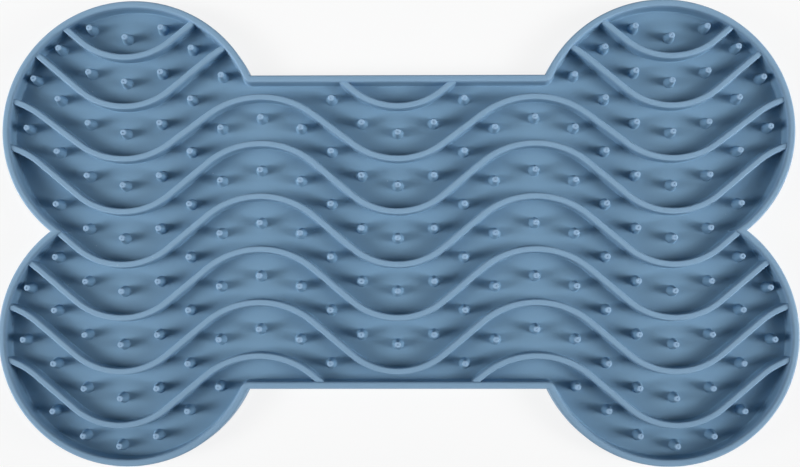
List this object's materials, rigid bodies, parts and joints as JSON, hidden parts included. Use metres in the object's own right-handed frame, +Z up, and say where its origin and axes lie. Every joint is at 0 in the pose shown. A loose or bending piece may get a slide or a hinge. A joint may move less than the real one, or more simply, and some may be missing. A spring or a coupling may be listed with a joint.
{
  "type": "lick mat",
  "caption": "Bone-shaped silicone lick mat: a shallow flat-bottomed tray with a raised rim, wavy ribs and rows of short nubs that hold soft food and slow a pet's licking.",
  "frame": {"origin": "middle of the flat underside, at the height of the surface that the mat lies on", "axes": "+X along the bone's length, +Y across it towards the picture's upper edge, +Z up out of the tray"},
  "size_m": [0.29, 0.17, 0.008],
  "materials": {
    "silicone": "matte"
  },
  "bodies": {
    "root": {"floor_panel": "silicone", "lower_rib_left": "silicone", "lower_rib_right": "silicone", "nub_row_1": "silicone", "nub_row_2": "silicone", "nub_row_3": "silicone", "nub_row_4": "silicone", "nub_row_5": "silicone", "nub_row_6": "silicone", "nub_row_7": "silicone", "nub_row_8": "silicone", "nub_row_9": "silicone", "rim": "silicone", "top_arc_rib_left": "silicone", "top_arc_rib_right": "silicone", "upper_arc_rib_left": "silicone", "upper_arc_rib_middle": "silicone", "upper_arc_rib_right": "silicone", "wave_rib_1": "silicone", "wave_rib_2": "silicone", "wave_rib_3": "silicone", "wave_rib_4": "silicone", "wave_rib_5": "silicone"}
  },
  "joints": []
}
